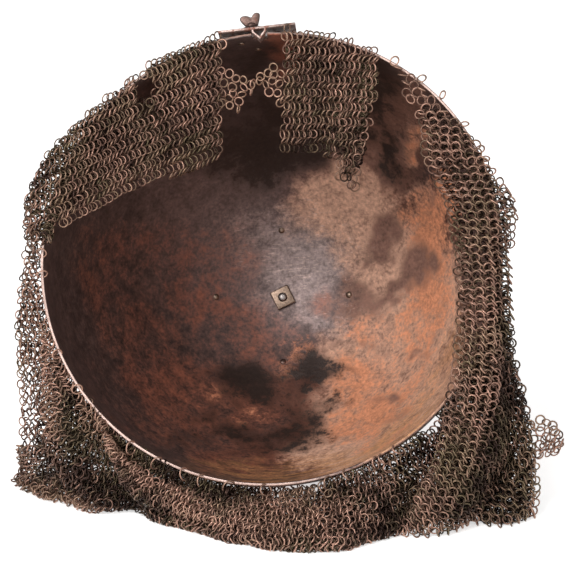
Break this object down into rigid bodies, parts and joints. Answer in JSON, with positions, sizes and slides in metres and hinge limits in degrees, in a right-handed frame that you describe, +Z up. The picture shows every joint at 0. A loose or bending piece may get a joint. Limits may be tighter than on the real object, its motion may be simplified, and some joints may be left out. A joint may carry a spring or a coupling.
{
  "type": "kulah khud helmet",
  "caption": "Domed iron helmet lying mouth forward: rusted skull with crown spike, brow bracket with heart-shaped thumb screw, and a mail curtain hung from its rim.",
  "frame": {"origin": "centre of the bounding box's footprint, on the surface the helmet lies on", "axes": "+Z up; -Y is the side the helmet's mouth faces; +Y towards the crown, which lies 26 degrees below the horizontal; +X to the right seen from the mouth"},
  "size_m": [0.25, 0.3078, 0.2111],
  "materials": {
    "skull": "forged iron, brown rust patina",
    "crown_nut": "worn steel, light rust",
    "crown_plate": "dark forged iron",
    "spike": "dark forged iron",
    "crown_rivet_1": "dark forged iron",
    "crown_rivet_2": "dark forged iron",
    "crown_rivet_3": "dark forged iron",
    "crown_rivet_4": "dark forged iron",
    "nasal_bracket": "dark forged iron",
    "bracket_rivet_1": "worn steel, light rust",
    "bracket_rivet_2": "worn steel, light rust",
    "screw_washer": "dark forged iron",
    "thumb_screw": "dark forged iron",
    "mail_front_left": "dark brown iron mail",
    "mail_front_right": "dark brown iron mail",
    "mail_front_strap": "dark brown iron mail",
    "mail_right_curtain": "dark brown iron mail",
    "mail_neck_curtain": "dark brown iron mail",
    "mail_side_strip": "dark brown iron mail",
    "mail_tatter": "dark brown iron mail"
  },
  "bodies": {
    "helmet": {"skull": "skull", "crown_nut": "crown_nut", "crown_plate": "crown_plate", "spike": "spike", "crown_rivet_1": "crown_rivet_1", "crown_rivet_2": "crown_rivet_2", "crown_rivet_3": "crown_rivet_3", "crown_rivet_4": "crown_rivet_4", "nasal_bracket": "nasal_bracket", "bracket_rivet_1": "bracket_rivet_1", "bracket_rivet_2": "bracket_rivet_2", "screw_washer": "screw_washer", "mail_front_left": "mail_front_left", "mail_front_right": "mail_front_right", "mail_front_strap": "mail_front_strap", "mail_right_curtain": "mail_right_curtain", "mail_neck_curtain": "mail_neck_curtain", "mail_side_strip": "mail_side_strip", "mail_tatter": "mail_tatter"},
    "screw": {"thumb_screw": "thumb_screw"}
  },
  "joints": [
    {"name": "thumb_screw_turn", "type": "hinge", "parent": "helmet", "child": "screw", "pos_m": [-0.01437, -0.02194, 0.20257], "axis": [-0.107, 0.4398, 0.8917], "continuous": true}
  ]
}
